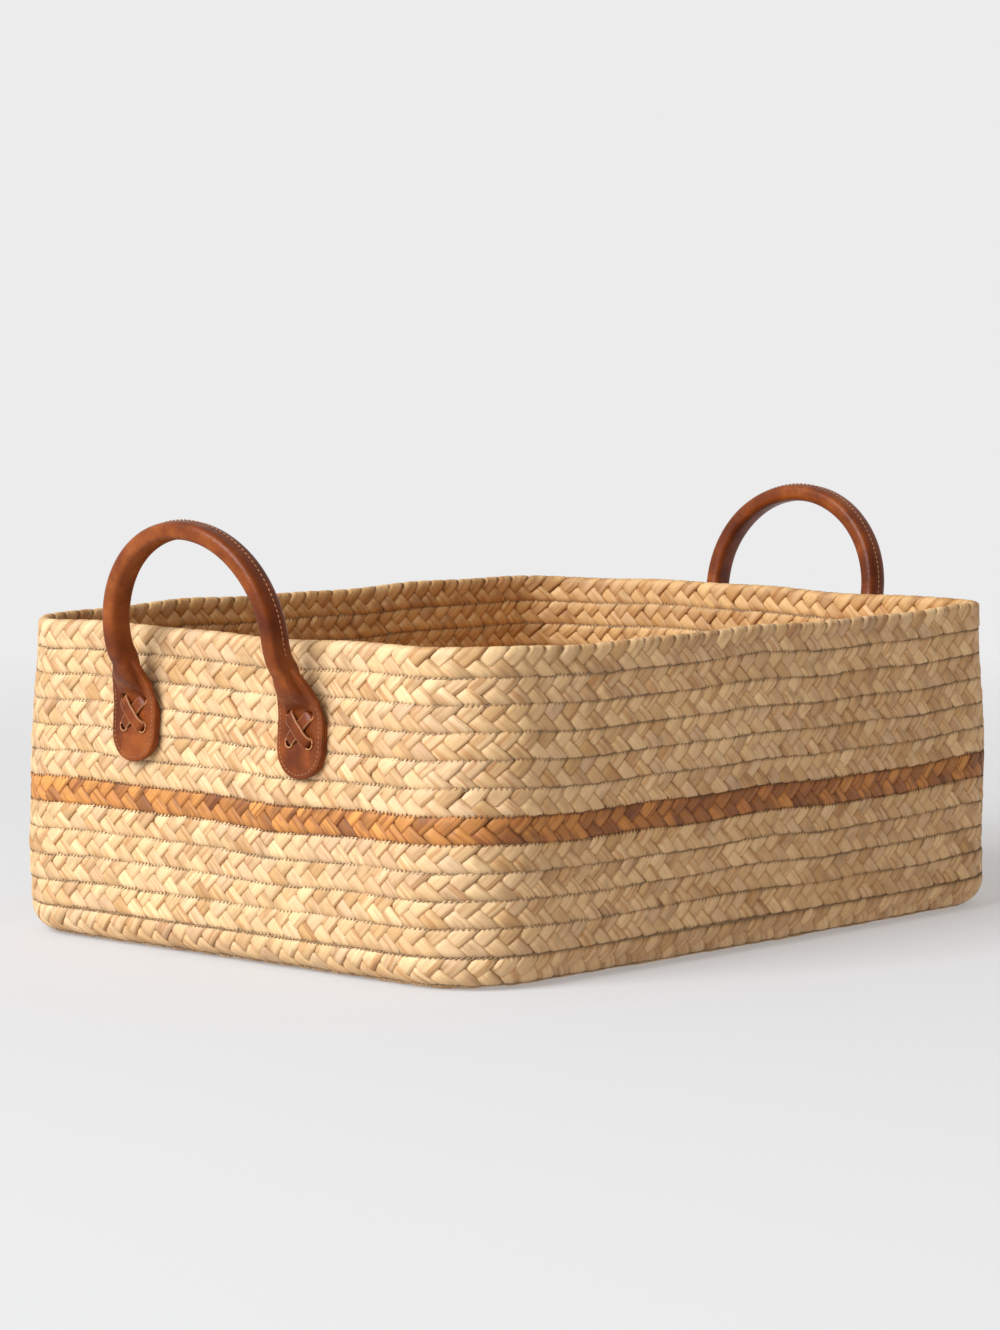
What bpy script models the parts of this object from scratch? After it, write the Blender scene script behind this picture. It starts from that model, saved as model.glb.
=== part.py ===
"""Rectangular storage basket of sewn plaited plant fibre with two rolled leather handles.

Metres, +Z up.  The origin is the middle of the footprint at floor level, +X runs along
the long side, and the handles stand on the two short end walls.
Run it with:  blender --background --python part.py
"""
import math

import bmesh
import bpy
from mathutils import Matrix, Vector

# ---- driving dimensions ------------------------------------------------------------
LENGTH = 0.422              # rim, outside, along X
WIDTH = 0.320               # rim, outside, along Y, at the corners
HEIGHT = 0.160              # floor to the top of the rim
CORNER_RADIUS = 0.040       # rim corners, outside, in plan
ROW_PITCH = 0.0130          # height of one plaited row with its seam
ROW_THICKNESS = 0.0070      # thickness of the plait
ROW_GAP = 0.0003            # clearance between touching pieces
ROW_CHAMFER = 0.0020        # rounding of a plait's long edges, which leaves the seam groove
WALL_ROWS = 12
BASE_ROWS = 12              # the last is the doubled start of the coil
ACCENT_ROW = 7              # the dyed row, counted down from the rim
BELLY = 0.0045              # the wall stands this much proud of the rim lower down
LONG_WALL_BOW_RIM = 0.0115  # outward bow of the long walls at mid length, at the rim
LONG_WALL_BOW_BASE = 0.0045
EDGE_RADIUS = 0.0150        # rounding between wall and base, outside
LAST_ROW_SLACK = 0.0016     # extra path length before the wall row that turns the edge
EDGE_SLACK = 0.0048         # extra path length before the first base row

CORNER_STEPS = 4            # segments of each rounded corner in plan
LONG_STEPS = 4              # segments of each bowed long wall
SHORT_STEPS = 2

TAB_SPREAD = 0.0575         # handle tab centres from the middle of the end wall
TAB_WIDTH = 0.030
TAB_NECK_WIDTH = 0.020
TAB_BOTTOM_Z = 0.0942
TAB_SHOULDER_Z = 0.1180
TAB_TOP_Z = 0.1295
TAB_LAYER = 0.0021          # thickness of each of a tab's two leather layers
LACE_CENTRE_Z = 0.1185      # middle of the crossed lacing
LACE_HOLE_SPAN_Y = 0.0130
LACE_HOLE_SPAN_Z = 0.0136
LACE_HOLE_RADIUS = 0.0028
LACE_WIDTH = 0.0044
LACE_THICKNESS = 0.0013
LACE_TAIL = 0.0045          # clenched end inside the basket
LACE_BACK_GAP = 0.0016      # from the wall's nominal inner face to the clenched ends
LACE_SHOULDER_DROP = 0.4    # how far the bar's corner is cut down, in lace thicknesses
LACE_SHOULDER_RUN = 0.6     # and how far in

FLEX_Z = 0.1325             # height of the line where the leather bends
ROLL_WIDTH = 0.0093         # handle roll across, in the plane of the arch
ROLL_DEPTH = 0.0135         # handle roll through, square to the arch
ROLL_CORNER = 0.0030
CORNER_CUT = 0.3            # the corner's middle point, as a share of the corner's size
SLEEVE_WALL = 0.0018        # leather thickness
HOLLOW_CORNER = 0.0016      # corner of the space for the core
CORE_CORNER = 0.0018
NECK_DEPTH = 0.0044         # the roll flattened towards the tab
NECK_CORNER = 0.0016
NECK_HOLLOW_CORNER = 0.0002
DEPTH_STATIONS = 2.0        # stations of the leg over which the neck gets its full depth
WIDTH_STATIONS = 3.0        # and over which it narrows to the roll's width
WELT_RADIUS = 0.0006
CORE_START = 3              # stations from the leg's end to the core and to the seam
WELT_START = 4
LEG_START = (0.0035, -0.0006, 0.0050)   # roll's end from the flex line: outward, along, up
LEG_START_PULL = (0.0060, -0.0006, 0.0050)
LEG_RIM_PULL = (-0.0022, 0.0, -0.0110)
LEG_STEPS = 5
LEG_SPREAD = 0.0549         # legs from the middle, at rim height
ARCH_RISE = 0.0522          # from the rim to the middle of the roll at the apex
ARCH_STEPS = 10
LEG_LEAN_RIM = 0.0209       # legs stand this far outside the rim face, at rim height
LEG_LEAN_APEX = 0.0274
THREAD_RADIUS = 0.0005
SLOPE_SPAN = 0.001          # height either side over which the wall's slope is taken
LEAST_CORNER = 0.003        # smallest plan corner of the innermost rings
SEAM_SINK = 0.9             # how deep the thread sits in the seam groove, as a share

FIBRE = ((0.78, 0.56, 0.31), 0.72)
DYED_FIBRE = ((0.52, 0.22, 0.07), 0.72)
LEATHER = ((0.27, 0.075, 0.022), 0.48)
THREAD = ((0.55, 0.47, 0.36), 0.85)
CORD = ((0.70, 0.62, 0.48), 0.90)


def clear_scene():
    for old in list(bpy.data.objects):
        bpy.data.objects.remove(old, do_unlink=True)


def collection(name):
    group = bpy.data.collections.new(name)
    bpy.context.scene.collection.children.link(group)
    return group


def material(name, finish):
    colour, roughness = finish
    made = bpy.data.materials.new(name)
    made.use_nodes = True
    shader = made.node_tree.nodes["Principled BSDF"]
    shader.inputs["Base Color"].default_value = (*colour, 1.0)
    shader.inputs["Roughness"].default_value = roughness
    shader.inputs["Metallic"].default_value = 0.0
    return made


def add_object(name, data, finish, group):
    made = bpy.data.objects.new(name, data)
    group.objects.link(made)
    data.materials.append(material(name + "_finish", finish))
    return made


def smoothstep(t):
    t = min(max(t, 0.0), 1.0)
    return t * t * (3.0 - 2.0 * t)


# ---- the walls' shape --------------------------------------------------------------
def belly(z):
    """How far the outer face stands outside the rim's footprint at height z."""
    return BELLY * smoothstep((HEIGHT - z) / (0.5 * HEIGHT))


def long_wall_bow(z):
    return LONG_WALL_BOW_BASE + (LONG_WALL_BOW_RIM - LONG_WALL_BOW_BASE) * z / HEIGHT


def footprint(offset, z):
    """Plan outline of the rim, grown by offset, with its long walls bowed outwards."""
    radius = max(CORNER_RADIUS + offset, LEAST_CORNER)
    half_x = LENGTH / 2 + offset
    half_y = WIDTH / 2 + offset
    centre_x, centre_y = half_x - radius, half_y - radius
    points = []
    for quarter, (sx, sy) in enumerate(((1, 1), (-1, 1), (-1, -1), (1, -1))):
        for step in range(CORNER_STEPS + 1):
            angle = math.radians(90.0 * (quarter + step / CORNER_STEPS))
            points.append((sx * centre_x + radius * math.cos(angle),
                           sy * centre_y + radius * math.sin(angle)))
        steps = LONG_STEPS if quarter % 2 == 0 else SHORT_STEPS
        end = ((-sx * centre_x, sy * half_y) if quarter % 2 == 0 else (sx * half_x, -sy * centre_y))
        start = points[-1]
        points += [(start[0] + (end[0] - start[0]) * k / steps,
                    start[1] + (end[1] - start[1]) * k / steps) for k in range(1, steps)]
    bow = 2.0 * long_wall_bow(z) / WIDTH
    return [(x, y * (1.0 + bow * max(0.0, 1.0 - (2.0 * x / LENGTH) ** 2))) for x, y in points]


def plait_path(distance):
    """Middle of the plait, measured down the wall from the rim, round the edge and in.

    Returns its offset from the rim's outer face, its height and its tilt from upright.
    """
    half = ROW_THICKNESS / 2
    bend_radius = EDGE_RADIUS - half
    straight = HEIGHT - EDGE_RADIUS
    if distance <= straight:
        z = HEIGHT - distance
        slope = (belly(z - SLOPE_SPAN) - belly(z + SLOPE_SPAN)) / (2.0 * SLOPE_SPAN)
        return belly(z) - half, z, -math.atan(slope)
    angle = (distance - straight) / bend_radius
    if angle < math.pi / 2:
        return (BELLY - EDGE_RADIUS + bend_radius * math.cos(angle),
                EDGE_RADIUS - bend_radius * math.sin(angle), angle)
    run = distance - straight - bend_radius * math.pi / 2
    return BELLY - EDGE_RADIUS - run, half, math.pi / 2


# ---- rings that follow the footprint -----------------------------------------------
def section_object(name, points, tilt, guides):
    """Closed outline for a ring to sweep, from points measured outward and up.

    A curve's bevel object has its own x pointing inward on a counter-clockwise ring.
    """
    curve = bpy.data.curves.new(name, "CURVE")
    curve.dimensions = "2D"
    curve.fill_mode = "NONE"
    spline = curve.splines.new("POLY")
    spline.points.add(len(points) - 1)
    for point, (x, y) in zip(spline.points, points):
        outward = x * math.cos(tilt) + y * math.sin(tilt)
        point.co = (-outward, y * math.cos(tilt) - x * math.sin(tilt), 0.0, 1.0)
    spline.use_cyclic_u = True
    made = bpy.data.objects.new(name, curve)
    made.hide_render = True
    made.display_type = "WIRE"
    guides.objects.link(made)
    return made


def plait_section():
    """Upright plait: chamfered outside, where the seam groove runs, and blunt inside."""
    half_h = (ROW_PITCH - ROW_GAP) / 2
    half_t = ROW_THICKNESS / 2
    return [(half_t, -half_h + ROW_CHAMFER), (half_t, half_h - ROW_CHAMFER),
            (half_t - ROW_CHAMFER, half_h), (-half_t, half_h),
            (-half_t, -half_h), (half_t - ROW_CHAMFER, -half_h)]


def ring(name, outline, z, section, finish, group):
    curve = bpy.data.curves.new(name, "CURVE")
    curve.dimensions = "2D"
    curve.fill_mode = "NONE"
    spline = curve.splines.new("POLY")
    spline.points.add(len(outline) - 1)
    for point, (x, y) in zip(spline.points, outline):
        point.co = (x, y, 0.0, 1.0)
    spline.use_cyclic_u = True
    curve.bevel_mode = "OBJECT"
    curve.bevel_object = section
    made = add_object(name, curve, finish, group)
    made.location.z = z
    return made


def flat_shape(name, outlines, thickness, finish, group):
    """Flat solid from closed outlines, the first outside and the rest holes."""
    curve = bpy.data.curves.new(name, "CURVE")
    curve.dimensions = "2D"
    curve.fill_mode = "BOTH"
    curve.extrude = thickness / 2
    for outline in outlines:
        spline = curve.splines.new("POLY")
        spline.points.add(len(outline) - 1)
        for point, (x, y) in zip(spline.points, outline):
            point.co = (x, y, 0.0, 1.0)
        spline.use_cyclic_u = True
    return add_object(name, curve, finish, group)


def wall_rows(group, guides):
    for number in range(1, WALL_ROWS + 1):
        slack = LAST_ROW_SLACK if number == WALL_ROWS else 0.0
        offset, z, tilt = plait_path((number - 0.5) * ROW_PITCH + slack)
        name = f"wall_row_{number:02d}"
        section = section_object(name + "_section", plait_section(), tilt, guides)
        finish = DYED_FIBRE if number == ACCENT_ROW else FIBRE
        ring(name, footprint(offset, z), z, section, finish, group)


def base_rows(group):
    """Flat rings, each inside the last, down to the coil's doubled start in the middle."""
    middle, z, _ = plait_path((WALL_ROWS + 0.5) * ROW_PITCH + EDGE_SLACK)
    outer_edge = middle + ROW_PITCH / 2
    for number in range(1, BASE_ROWS + 1):
        outer = outer_edge - (number - 1) * ROW_PITCH
        outlines = [footprint(outer, 0.0)]
        if number < BASE_ROWS:
            outlines.append(footprint(outer - ROW_PITCH + ROW_GAP, 0.0))
        made = flat_shape(f"base_row_{number:02d}", outlines, ROW_THICKNESS, FIBRE, group)
        made.location.z = z


def seam_threads(group, guides):
    """One machine-sewn line in the outer groove below each wall row but the last."""
    points = [(THREAD_RADIUS * math.cos(a), THREAD_RADIUS * math.sin(a))
              for a in (math.pi, math.pi * 5 / 3, math.pi * 7 / 3)]
    section = section_object("thread_section", points, 0.0, guides)
    depth = (ROW_THICKNESS - SEAM_SINK * ROW_CHAMFER) / 2
    for number in range(1, WALL_ROWS):
        offset, z, tilt = plait_path(number * ROW_PITCH)
        ring(f"seam_thread_{number:02d}", footprint(offset + depth, z), z, section, THREAD, group)


# ---- leather handles ---------------------------------------------------------------
def tab_slope():
    """How far the end wall comes out behind a tab for each unit of height downwards."""
    return (belly(TAB_BOTTOM_Z) - belly(TAB_TOP_Z)) / (TAB_TOP_Z - TAB_BOTTOM_Z)


def tab_back_offset(z):
    """Back face of a tab: a flat plane that just clears the curved end wall."""
    middle = 0.5 * (TAB_BOTTOM_Z + TAB_TOP_Z)
    return belly(middle) + 2.0 * ROW_GAP + tab_slope() * (middle - z)


def tab_tilt():
    return math.atan(tab_slope())


def lace_holes():
    return [(sy * LACE_HOLE_SPAN_Y / 2, LACE_CENTRE_Z + sz * LACE_HOLE_SPAN_Z / 2)
            for sy in (-1, 1) for sz in (-1, 1)]


def tab_frame(side, y, back):
    """Tab plane: local x along world Y, local y up the wall, local z out of the wall."""
    z = LACE_CENTRE_Z
    up = Vector((-side * math.sin(tab_tilt()), 0.0, math.cos(tab_tilt())))
    along = Vector((0.0, side, 0.0))
    out = along.cross(up)
    origin = Vector((side * (LENGTH / 2 + tab_back_offset(z)), y, z)) + out * back
    frame = Matrix((along, up, out)).transposed().to_4x4()
    frame.translation = origin
    return frame


def tab_outline():
    """Round-ended tab, tapering to the neck where the roll begins."""
    radius = TAB_WIDTH / 2
    centre = TAB_BOTTOM_Z + radius - LACE_CENTRE_Z
    round_end = [(radius * math.cos(a), centre + radius * math.sin(a))
                 for a in (math.radians(180 + 180 * k / 10) for k in range(11))]
    top = TAB_TOP_Z - LACE_CENTRE_Z
    shoulder = TAB_SHOULDER_Z - LACE_CENTRE_Z
    neck = TAB_NECK_WIDTH / 2
    return round_end + [(radius, shoulder), (neck, top), (-neck, top), (-radius, shoulder)]


def circle(x, y, radius, steps):
    return [(x + radius * math.cos(2 * math.pi * k / steps),
             y + radius * math.sin(2 * math.pi * k / steps)) for k in range(steps)]


def tabs(label, side, group):
    holes = [circle(y, z - LACE_CENTRE_Z, LACE_HOLE_RADIUS, 8) for y, z in lace_holes()]
    for leg, y in (("front", -TAB_SPREAD), ("rear", TAB_SPREAD)):
        for layer, middle in (("backing", 0.5 * TAB_LAYER), ("face", 1.5 * TAB_LAYER + ROW_GAP)):
            made = flat_shape(f"{label}_{leg}_tab_{layer}", [tab_outline()] + holes,
                              TAB_LAYER, LEATHER, group)
            made.matrix_world = tab_frame(side, y, middle)


def lace_outline(lift):
    """Staple seen along its width: bar over the tab, legs through the wall, clenched ends."""
    half = math.hypot(LACE_HOLE_SPAN_Y, LACE_HOLE_SPAN_Z) / 2
    t = LACE_THICKNESS
    front = 2 * TAB_LAYER + 2 * ROW_GAP + lift
    back = -(ROW_THICKNESS + LACE_BACK_GAP)
    inner = [(half - t / 2, back), (half - LACE_TAIL, back), (half - LACE_TAIL, back - t)]
    arm = [(half + t / 2, back - t), (half + t / 2, front + LACE_SHOULDER_DROP * t),
           (half - LACE_SHOULDER_RUN * t, front + t)]
    right_side = [(half - t / 2, front)] + inner + arm
    return right_side + [(-x, y) for x, y in reversed(right_side)]


def laces(label, side, group):
    """Two thongs cross over each tab; the second bridges the first."""
    rise = math.atan2(LACE_HOLE_SPAN_Z, LACE_HOLE_SPAN_Y)
    for leg, y in (("front", -TAB_SPREAD), ("rear", TAB_SPREAD)):
        for thong, lift, turn in (("under", 0.0, rise), ("over", LACE_THICKNESS + ROW_GAP, -rise)):
            made = flat_shape(f"{label}_{leg}_lace_{thong}", [lace_outline(lift)],
                              LACE_WIDTH, LEATHER, group)
            stand = Matrix.Rotation(turn, 4, "Z") @ Matrix.Rotation(math.pi / 2, 4, "X")
            made.matrix_world = tab_frame(side, y, 0.0) @ stand


def flex_offset():
    """The leather bends at the middle of the tab's thickness."""
    return tab_back_offset(FLEX_Z) + TAB_LAYER + ROW_GAP / 2


def arch_points():
    """Middle line of the roll from the front leg to the rear: offset outward, y, z."""
    half = []
    start = Vector((flex_offset(), TAB_SPREAD, FLEX_Z)) + Vector(LEG_START)
    rim = Vector((LEG_LEAN_RIM, LEG_SPREAD, HEIGHT))
    pull_start = start + Vector(LEG_START_PULL)
    pull_rim = rim + Vector(LEG_RIM_PULL)
    for k in range(LEG_STEPS):
        t = k / LEG_STEPS
        half.append(start * (1 - t) ** 3 + pull_start * 3 * t * (1 - t) ** 2
                    + pull_rim * 3 * t * t * (1 - t) + rim * t ** 3)
    for k in range(ARCH_STEPS // 2 + 1):
        angle = math.pi / 2 * k / (ARCH_STEPS // 2)
        lean = LEG_LEAN_RIM + (LEG_LEAN_APEX - LEG_LEAN_RIM) * math.sin(angle)
        half.append(Vector((lean, LEG_SPREAD * math.cos(angle), HEIGHT + ARCH_RISE * math.sin(angle))))
    mirrored = [Vector((p.x, -p.y, p.z)) for p in half]
    return mirrored + half[-2::-1]


def arch_frames(points):
    """Outward normal and in-plane normal of the roll at each point."""
    frames = []
    for k, point in enumerate(points):
        before, after = points[max(k - 1, 0)], points[min(k + 1, len(points) - 1)]
        tangent = (after - before).normalized()
        outward = Vector((1.0, 0.0, 0.0)) - tangent * tangent.x
        outward.normalize()
        frames.append((point, outward, tangent.cross(outward)))
    return frames


def roll_section(width, depth, corner):
    """Rounded rectangle with one point in the middle of each corner."""
    w, d, cut = width / 2, depth / 2, CORNER_CUT * corner
    return [(d - cut, w - cut), (d - corner, w), (corner - d, w),
            (cut - d, w - cut), (-d, w - corner), (-d, corner - w),
            (cut - d, cut - w), (corner - d, -w), (d - corner, -w),
            (d - cut, cut - w), (d, corner - w), (d, w - corner)]


def fullness(k, count, stations):
    """0 at the flat neck at both ends, growing to 1 in the roll over some stations."""
    return smoothstep(min(k, count - 1 - k) / stations)


def place_sections(shell, frames, sections):
    return [[shell.verts.new(point + outward * d + across * w) for d, w in section]
            for (point, outward, across), section in zip(frames, sections)]


def skin(shell, loops):
    """Faces between each closed loop of vertices and the next."""
    count = len(loops[0])
    for near, far in zip(loops, loops[1:]):
        for i in range(count):
            j = (i + 1) % count
            shell.faces.new((near[i], near[j], far[j], far[i]))


def finish_loft(shell, name, finish, group):
    bmesh.ops.recalc_face_normals(shell, faces=shell.faces)
    mesh = bpy.data.meshes.new(name)
    shell.to_mesh(mesh)
    shell.free()
    mesh.shade_smooth()
    mesh.set_sharp_from_angle(angle=math.radians(50))
    return add_object(name, mesh, finish, group)


def sleeve(name, frames, group):
    """Leather rolled round the core: a tube from a flat neck to the roll and back."""
    outside, hollow = [], []
    for k in range(len(frames)):
        full = fullness(k, len(frames), DEPTH_STATIONS)
        narrow = fullness(k, len(frames), WIDTH_STATIONS)
        width = TAB_NECK_WIDTH + (ROLL_WIDTH - TAB_NECK_WIDTH) * narrow
        depth = NECK_DEPTH + (ROLL_DEPTH - NECK_DEPTH) * full
        corner = NECK_CORNER + (ROLL_CORNER - NECK_CORNER) * full
        hollow_corner = NECK_HOLLOW_CORNER + (HOLLOW_CORNER - NECK_HOLLOW_CORNER) * full
        outside.append(roll_section(width, depth, corner))
        hollow.append(roll_section(width - 2 * SLEEVE_WALL, depth - 2 * SLEEVE_WALL, hollow_corner))
    shell = bmesh.new()
    outer = place_sections(shell, frames, outside)
    inner = place_sections(shell, frames, hollow)
    for loops in (outer, inner, [outer[0], inner[0]], [outer[-1], inner[-1]]):
        skin(shell, loops)
    return finish_loft(shell, name, LEATHER, group)


def core_cord(name, frames, group):
    """Flattened cord that fills the full part of the roll."""
    room = 2 * (SLEEVE_WALL + ROW_GAP)
    section = roll_section(ROLL_WIDTH - room, ROLL_DEPTH - room, CORE_CORNER)
    shell = bmesh.new()
    loops = place_sections(shell, frames, [section] * len(frames))
    skin(shell, loops)
    shell.faces.new(loops[0])
    shell.faces.new(loops[-1])
    return finish_loft(shell, name, CORD, group)


def hang_on(made, pivot, side):
    """Put a piece drawn for the +X handle, from the rim face, on its handle's flex line."""
    turn = Matrix.Rotation(0.0 if side > 0 else math.pi, 4, "Z")
    made.parent = pivot
    made.matrix_parent_inverse = Matrix.Identity(4)
    made.matrix_basis = (pivot.matrix_basis.inverted() @ turn
                         @ Matrix.Translation((LENGTH / 2, 0.0, 0.0)))


def round_bar(name, points, radius, finish, group):
    curve = bpy.data.curves.new(name, "CURVE")
    curve.dimensions = "3D"
    curve.bevel_depth = radius
    curve.bevel_resolution = 2
    curve.use_fill_caps = True
    spline = curve.splines.new("POLY")
    spline.points.add(len(points) - 1)
    for point, place in zip(spline.points, points):
        point.co = (*place, 1.0)
    return add_object(name, curve, finish, group)


def handle(label, side, group):
    pivot = bpy.data.objects.new(label + "_flex_line", None)
    pivot.location = (side * (LENGTH / 2 + flex_offset()), 0.0, FLEX_Z)
    group.objects.link(pivot)
    frames = arch_frames(arch_points())
    full_roll = frames[CORE_START:-CORE_START]
    reach = ROLL_WIDTH / 2 + ROW_GAP + WELT_RADIUS
    line = [p - across * reach for p, _, across in frames[WELT_START:-WELT_START]]
    for made in (sleeve(label + "_sleeve", frames, group),
                 core_cord(label + "_core_cord", full_roll, group),
                 round_bar(label + "_seam_thread", line, WELT_RADIUS, THREAD, group)):
        hang_on(made, pivot, side)


# ---- lacing holes through the wall -------------------------------------------------
def as_mesh(made, group):
    """Turn a curve object into a welded mesh object of the same name and place."""
    name, place = made.name, made.matrix_world.copy()
    evaluated = made.evaluated_get(bpy.context.evaluated_depsgraph_get())
    mesh = bpy.data.meshes.new_from_object(evaluated)
    weld = bmesh.new()
    weld.from_mesh(mesh)
    bmesh.ops.remove_doubles(weld, verts=weld.verts, dist=0.00001)
    weld.to_mesh(mesh)
    weld.free()
    bpy.data.objects.remove(made, do_unlink=True)
    mesh.name = name
    solid = bpy.data.objects.new(name, mesh)
    group.objects.link(solid)
    solid.matrix_world = place
    return solid


def lacing_cutters(cutters):
    """Round bars along X through an end wall, one for each lace hole, joined by height."""
    made = {}
    for z in sorted({z for _, z in lace_holes()}):
        tool = bmesh.new()
        for side in (-1, 1):
            for tab_y in (-TAB_SPREAD, TAB_SPREAD):
                for hole_y in (-LACE_HOLE_SPAN_Y / 2, LACE_HOLE_SPAN_Y / 2):
                    place = tab_frame(side, tab_y + hole_y, 0.0)
                    shift = Matrix.Translation((0.0, z - LACE_CENTRE_Z, -ROW_THICKNESS / 2))
                    bmesh.ops.create_cone(tool, cap_ends=True, segments=8, radius1=LACE_HOLE_RADIUS,
                                          radius2=LACE_HOLE_RADIUS, depth=4 * ROW_THICKNESS,
                                          matrix=place @ shift)
        mesh = bpy.data.meshes.new("lacing_cutter")
        tool.to_mesh(mesh)
        tool.free()
        cutter = bpy.data.objects.new(f"lacing_cutter_{round(z * 1000)}", mesh)
        cutter.hide_render = True
        cutter.display_type = "WIRE"
        cutters.objects.link(cutter)
        made[z] = cutter
    return made


def cut_lacing_holes(group, cutters):
    for z, cutter in lacing_cutters(cutters).items():
        row = math.ceil((HEIGHT - z) / ROW_PITCH)
        solid = as_mesh(bpy.data.objects[f"wall_row_{row:02d}"], group)
        cut = solid.modifiers.new("lacing_holes", "BOOLEAN")
        cut.operation = "DIFFERENCE"
        cut.solver = "EXACT"
        cut.object = cutter


def build():
    clear_scene()
    basket = collection("storage_basket")
    guides = collection("sections_and_cutters")
    wall_rows(basket, guides)
    base_rows(basket)
    seam_threads(basket, guides)
    for label, side in (("left_handle", -1), ("right_handle", 1)):
        tabs(label, side, basket)
        laces(label, side, basket)
        handle(label, side, basket)
    bpy.context.view_layer.update()
    cut_lacing_holes(basket, guides)


build()
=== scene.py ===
"""Looks for the plaited storage basket with leather handles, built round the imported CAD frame."""
import math

import bmesh
import bpy
import numpy as np
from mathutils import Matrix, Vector


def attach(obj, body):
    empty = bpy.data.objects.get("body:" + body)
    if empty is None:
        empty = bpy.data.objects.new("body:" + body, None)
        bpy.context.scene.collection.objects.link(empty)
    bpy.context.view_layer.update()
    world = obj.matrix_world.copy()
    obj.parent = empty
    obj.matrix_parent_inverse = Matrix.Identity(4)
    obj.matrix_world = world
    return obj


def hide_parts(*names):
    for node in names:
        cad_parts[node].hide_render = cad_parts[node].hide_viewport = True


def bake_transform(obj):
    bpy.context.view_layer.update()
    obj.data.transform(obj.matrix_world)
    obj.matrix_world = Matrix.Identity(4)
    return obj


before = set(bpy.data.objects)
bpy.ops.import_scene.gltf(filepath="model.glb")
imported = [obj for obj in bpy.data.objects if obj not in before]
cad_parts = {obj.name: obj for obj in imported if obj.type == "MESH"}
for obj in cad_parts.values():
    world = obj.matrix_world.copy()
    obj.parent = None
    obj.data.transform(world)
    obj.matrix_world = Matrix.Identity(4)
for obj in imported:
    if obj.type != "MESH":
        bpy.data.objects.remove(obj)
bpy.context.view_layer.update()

# ---- the basket's own dimensions, as in the CAD --------------------------
LENGTH = 0.422  # rim, outside, along X
WIDTH = 0.320  # rim, outside, along Y, at the corners
HEIGHT = 0.160
CORNER_RADIUS = 0.040
INNER_CORNER = 0.003  # smallest plan radius, for the rings of the base
ROW_PITCH = 0.0130
ROW_THICKNESS = 0.0070
WALL_ROWS = 12
BASE_ROWS = 12
ACCENT_ROW = 7  # the dyed row, counted down from the rim
BELLY = 0.0045
LONG_WALL_BOW_RIM = 0.0115
LONG_WALL_BOW_BASE = 0.0045
EDGE_RADIUS = 0.0150
EDGE_SLACK = 0.0010  # spare length that each row gains round the bottom edge
# Slow waves of the hand-sewn wall: size, waves in one lap, turn with height, start.
WAVES_OUT = ((0.0007, 5, 31.0, 0.0), (0.0005, 11, -57.0, 1.3))
WAVES_UP = ((0.0007, 7, 0.0, 0.6), (0.0004, 16, 0.0, 2.1))
CALM_BASE = 0.012  # no waves below this height
CALM_FADE = 0.030  # height in which they then grow to full size

# ---- the plait: three flat strands, each folded at the row's edges -------
LAYER = 0.0017  # each strand lies this far out or in from the plait's middle
STRAND_THICKNESS = 0.0031
EDGE_FOLD = 0.0013  # how far a fold reaches past the flat stretch
EDGE_OVERLAP = 0.00115  # neighbouring rows press into each other this much
STRAND_PERIOD = 0.0325  # along the row, for one strand to come back to the same place
STRAND_COVER = 1.12  # strand width over the width that just closes the plait
CLIMB = 0.0034  # length in which a strand rises from behind its neighbour
CLIMB_START = 0.57  # share of the climb already done at the neighbour's edge
SAMPLES_PER_PERIOD = 26
STRAND_POINTS = 7  # points across a strand
FOLD_SLACK = 1.05  # length of a fold over that of a half circle
FOLD_SQUARENESS = 0.45
SECTION_SQUARENESS = 4.2
WIDTH_JITTER = 0.035  # share of the strand's width
LIFT_JITTER = 0.00018
SLIDE_JITTER = 0.00045
# Tone and hue from fold to fold: middle, spread, slow swing, folds in one radian of it.
TONES = (0.36, 0.22, 0.22, 3.1)
HUES = (0.12, 0.22, 0.20, 4.3)
DARK_FOLDS = 0.03  # share of the folds
DARK_TONE = 1.3
DYE_SHADE = 0.25  # the dyed row is darker along the -Y wall
DYE_SHADE_START = 0.10  # distance from the middle towards -Y
DYE_SHADE_FADE = 0.05

# ---- sewing --------------------------------------------------------------
STITCH_PITCH = 0.0024
STITCH_REACH = 0.00100
STITCH_REACH_INSIDE = 0.7  # share of that reach on the basket's inner face
STITCH_DIVE = 0.0016  # the thread goes this deep between stitches
STITCH_SINK = 0.0005  # middle of the thread below the highest leaf
STITCH_SLANT = 0.30  # share of the pitch
STITCH_STEPS = 8
THREAD_RADIUS = 0.00031

# ---- leather -------------------------------------------------------------
TAB_SPREAD = 0.0575
TAB_WIDTH = 0.030
TAB_BOTTOM_Z = 0.0942
TAB_SHOULDER_Z = 0.1180
TAB_TOP_Z = 0.1295
TAB_LAYER = 0.0021
ROW_GAP = 0.0003
LACE_CENTRE_Z = 0.1185
LACE_HOLE_SPAN_Y = 0.0130
LACE_HOLE_SPAN_Z = 0.0136
FLEX_Z = 0.1325
ROLL_WIDTH = 0.0093  # across the roll, in the plane of the arch
ROLL_DEPTH = 0.0135  # through the roll, square to the arch
ROLL_SQUARENESS = 3.4
SLEEVE_WALL = 0.0018
LEG_START = (0.0035, -0.0006, 0.0050)
LEG_START_PULL = (0.0060, -0.0006, 0.0050)
LEG_RIM_PULL = (-0.0022, 0.0, -0.0110)
LEG_SPREAD = 0.0549
ARCH_RISE = 0.0522
LEG_LEAN_RIM = 0.0209
LEG_LEAN_APEX = 0.0274
FLANGE_TOP_Z = 0.1485  # the flat leather behind the leg ends here, at the roll's width
FLANGE_BOTTOM_Z = 0.1285
SHOULDER_POWER = 2.4  # how the tab narrows from its shoulder to the roll
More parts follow.
